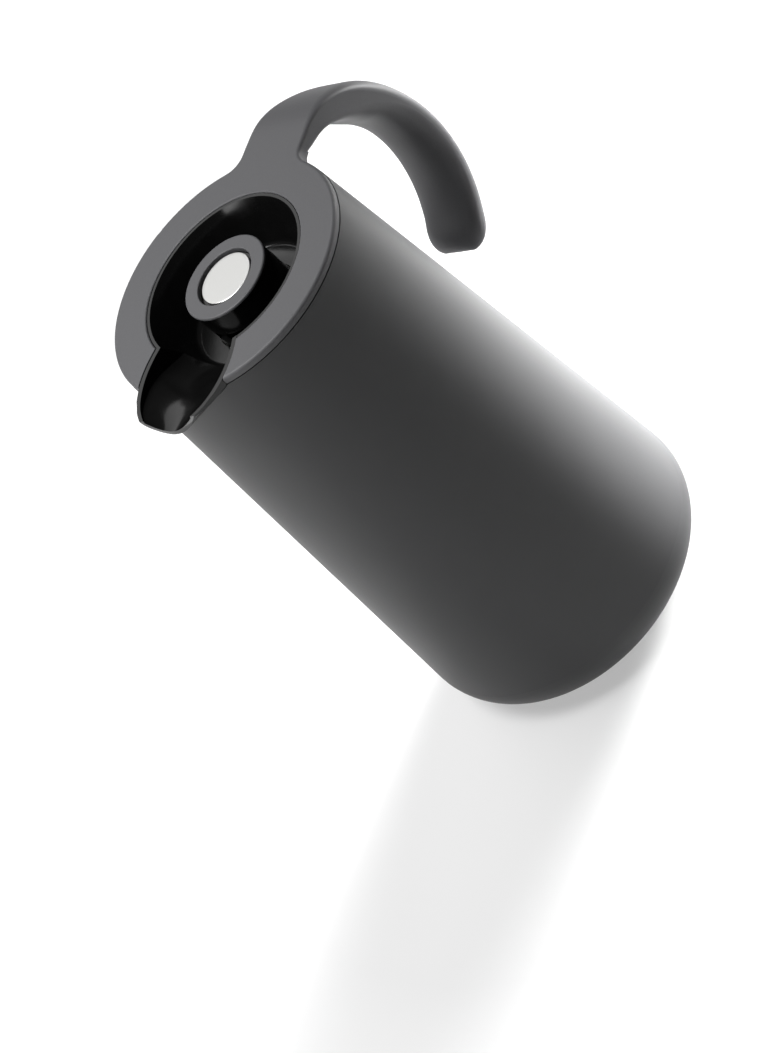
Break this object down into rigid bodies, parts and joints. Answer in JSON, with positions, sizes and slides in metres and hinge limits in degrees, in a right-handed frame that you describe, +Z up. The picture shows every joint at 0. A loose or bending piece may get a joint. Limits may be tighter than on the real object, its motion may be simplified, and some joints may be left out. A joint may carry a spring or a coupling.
{
  "type": "vacuum jug",
  "caption": "Conical insulated jug with a glass vacuum flask, flat collar with an open hook handle, pouring spout and a press-button stopper that lifts out.",
  "frame": {"origin": "centre of the foot ring on the surface that the jug stands on", "axes": "+Z up along the jug's axis, +X towards the handle, spout towards -X"},
  "size_m": [0.2004, 0.1449, 0.253],
  "materials": {
    "shell_plastic": "satin anthracite, fine grain",
    "black_gloss_plastic": "gloss black",
    "grey_plastic": "matte mid grey",
    "steel_disc": "fine circular brushing",
    "screw_steel": "zinc plated",
    "spring_steel": "bright drawn wire",
    "black_rubber": "matte",
    "seal_silicone": "matte translucent grey",
    "pad_fibre": "fibre pad",
    "silvered_glass": "glass silvered on the vacuum side"
  },
  "bodies": {
    "jug": {"outer_shell": "shell_plastic", "base_cover": "shell_plastic", "foot_ring": "black_rubber", "base_cushion": "black_rubber", "flask_outer_bottle": "silvered_glass", "flask_inner_bottle": "silvered_glass", "flask_spacers": "pad_fibre", "neck_gasket": "seal_silicone", "pouring_funnel": "black_gloss_plastic", "collar_handle": "shell_plastic", "collar_screws": "screw_steel"},
    "stopper": {"stopper_body": "black_gloss_plastic", "spring_cup": "black_gloss_plastic", "stopper_cap_ring": "grey_plastic", "stopper_lip_seal": "seal_silicone", "stem_seal": "black_rubber", "valve_seat": "black_gloss_plastic", "return_spring": "spring_steel"},
    "button": {"button_disc": "steel_disc", "button_plunger": "black_gloss_plastic", "valve_plate": "black_gloss_plastic", "valve_gasket": "seal_silicone", "plate_screw": "screw_steel"}
  },
  "joints": [
    {"name": "stopper_lift", "type": "slide", "parent": "jug", "child": "stopper", "axis": [0, 0, 1], "range_m": [0, 0.06]},
    {"name": "button_press", "type": "slide", "parent": "stopper", "child": "button", "axis": [0, 0, -1], "range_m": [0, 0.004], "stiffness_N_per_m": 600, "springref_m": -0.004, "deforming": ["return_spring"]}
  ]
}
